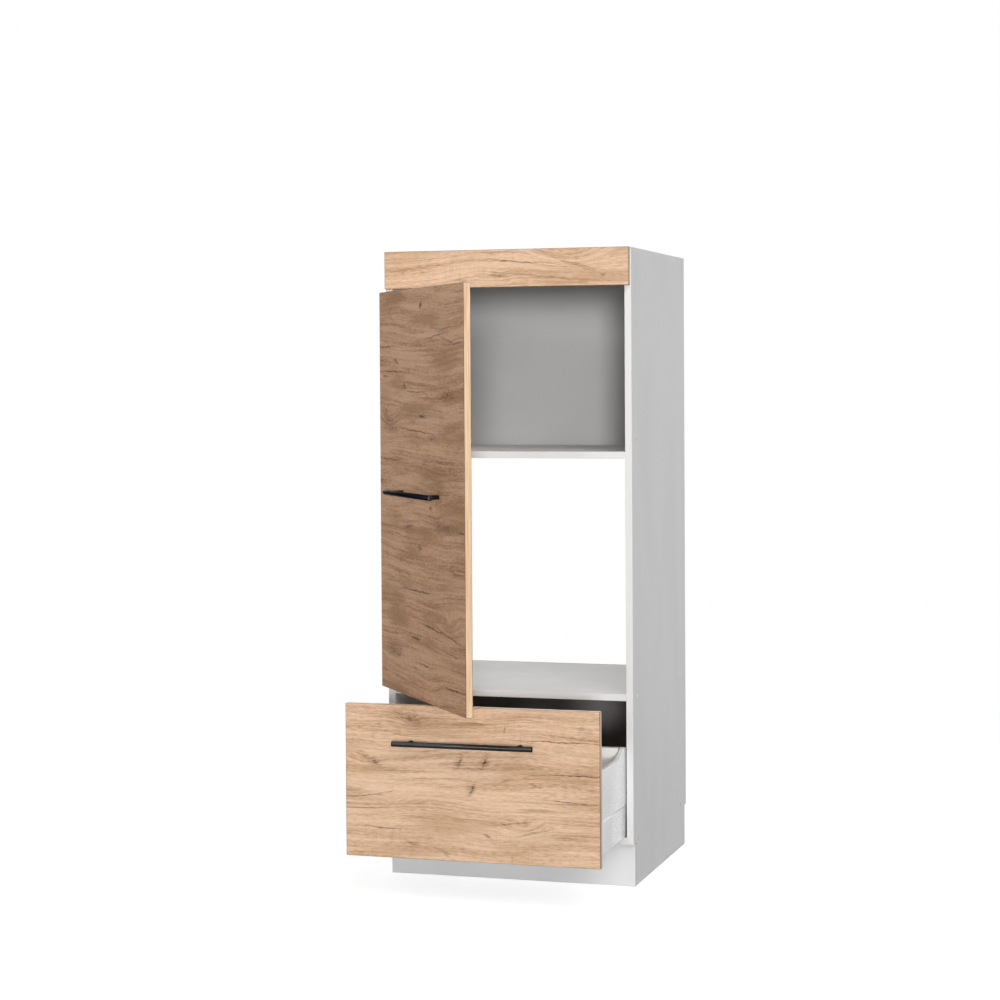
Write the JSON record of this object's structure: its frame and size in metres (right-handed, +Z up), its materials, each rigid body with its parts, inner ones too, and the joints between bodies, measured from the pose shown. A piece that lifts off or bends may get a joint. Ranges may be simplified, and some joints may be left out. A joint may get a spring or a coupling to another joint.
{
  "type": "tall kitchen cabinet",
  "caption": "Tall kitchen cabinet for a microwave and an oven: white carcass, oak fronts, a hinged door over two niches and a deep drawer below.",
  "frame": {"origin": "middle of the plinth's underside, on the floor", "axes": "+X to the cabinet's right seen from the front, +Y to its back, +Z up"},
  "size_m": [0.6125, 1.0462, 1.486],
  "materials": {
    "white_melamine": "matt white melamine on chipboard",
    "white_back": "white lacquered hardboard",
    "charcoal_back": "charcoal lacquered hardboard",
    "oak_front": "light oak decor with a matt grain texture",
    "black_metal": "satin black lacquer",
    "white_steel": "white powder coat",
    "zinc_steel": "zinc plated",
    "nickel_steel": "nickel plated",
    "white_plastic": "moulded",
    "clear_rubber": "soft, cloudy clear"
  },
  "bodies": {
    "carcass": {"side_panel_left": "white_melamine", "side_panel_right": "white_melamine", "bottom_panel": "white_melamine", "lower_shelf": "white_melamine", "upper_shelf": "white_melamine", "top_panel": "white_melamine", "back_panel_upper": "white_back", "back_panel_drawer_bay": "charcoal_back", "fascia": "oak_front", "fascia_bracket_left": "zinc_steel", "fascia_bracket_right": "zinc_steel", "plinth": "white_melamine", "plinth_block_left": "white_plastic", "plinth_block_right": "white_plastic", "runner_rail_left": "zinc_steel", "runner_rail_right": "zinc_steel", "shelf_pin_left_front": "zinc_steel", "shelf_pin_left_rear": "zinc_steel", "shelf_pin_right_front": "zinc_steel", "shelf_pin_right_rear": "zinc_steel", "hinge_plate_lower": "nickel_steel", "hinge_plate_upper": "nickel_steel", "hinge_arm_lower": "nickel_steel", "hinge_arm_upper": "nickel_steel"},
    "door": {"door_panel": "oak_front", "door_handle": "black_metal", "door_handle_screw_left": "zinc_steel", "door_handle_screw_right": "zinc_steel", "door_bumper_lower": "clear_rubber", "door_bumper_upper": "clear_rubber", "hinge_cup_lower": "nickel_steel", "hinge_cup_upper": "nickel_steel"},
    "hinge_inner_links": {"hinge_inner_link_lower": "nickel_steel", "hinge_inner_link_upper": "nickel_steel"},
    "hinge_outer_links": {"hinge_outer_link_lower": "nickel_steel", "hinge_outer_link_upper": "nickel_steel"},
    "drawer": {"drawer_front": "oak_front", "drawer_handle": "black_metal", "drawer_handle_screw_left": "zinc_steel", "drawer_handle_screw_right": "zinc_steel", "drawer_floor": "white_melamine", "drawer_back": "white_melamine", "drawer_side_left": "white_steel", "drawer_wall_left": "white_steel", "drawer_back_bracket_left": "white_steel", "drawer_front_bracket_left": "zinc_steel", "drawer_bumper_left": "clear_rubber", "runner_slide_left": "zinc_steel", "drawer_side_right": "white_steel", "drawer_wall_right": "white_steel", "drawer_back_bracket_right": "white_steel", "drawer_front_bracket_right": "zinc_steel", "drawer_bumper_right": "clear_rubber", "runner_slide_right": "zinc_steel"},
    "runner_middles": {"runner_middle_left": "zinc_steel", "runner_middle_right": "zinc_steel"}
  },
  "joints": [
    {"name": "door_hinge", "type": "hinge", "parent": "carcass", "child": "door", "pos_m": [-0.3005, -0.024, 0.9215], "axis": [0, 0, 1], "range_deg": [-42.5, 52.5]},
    {"name": "hinge_inner_link_turn", "type": "hinge", "parent": "carcass", "child": "hinge_inner_links", "pos_m": [-0.279, -0.0205, 0.9215], "axis": [0, 0, 1], "range_deg": [-42.5, 52.5]},
    {"name": "hinge_outer_link_turn", "type": "hinge", "parent": "hinge_inner_links", "child": "hinge_outer_links", "pos_m": [-0.27573, -0.03626, 0.9215], "axis": [0, 0, 1], "range_deg": [-52.5, 42.5]},
    {"name": "drawer_slide", "type": "slide", "parent": "carcass", "child": "drawer", "axis": [0, 1, 0], "range_m": [-0.01, 0.28]},
    {"name": "runner_middle_slide", "type": "slide", "parent": "carcass", "child": "runner_middles", "axis": [0, 1, 0], "range_m": [-0.005, 0.14]}
  ],
  "couplings": [
    {"joint": "hinge_inner_link_turn", "follows": "door_hinge", "ratio": 1},
    {"joint": "hinge_outer_link_turn", "follows": "door_hinge", "ratio": -1},
    {"joint": "runner_middle_slide", "follows": "drawer_slide", "ratio": 0.5}
  ]
}
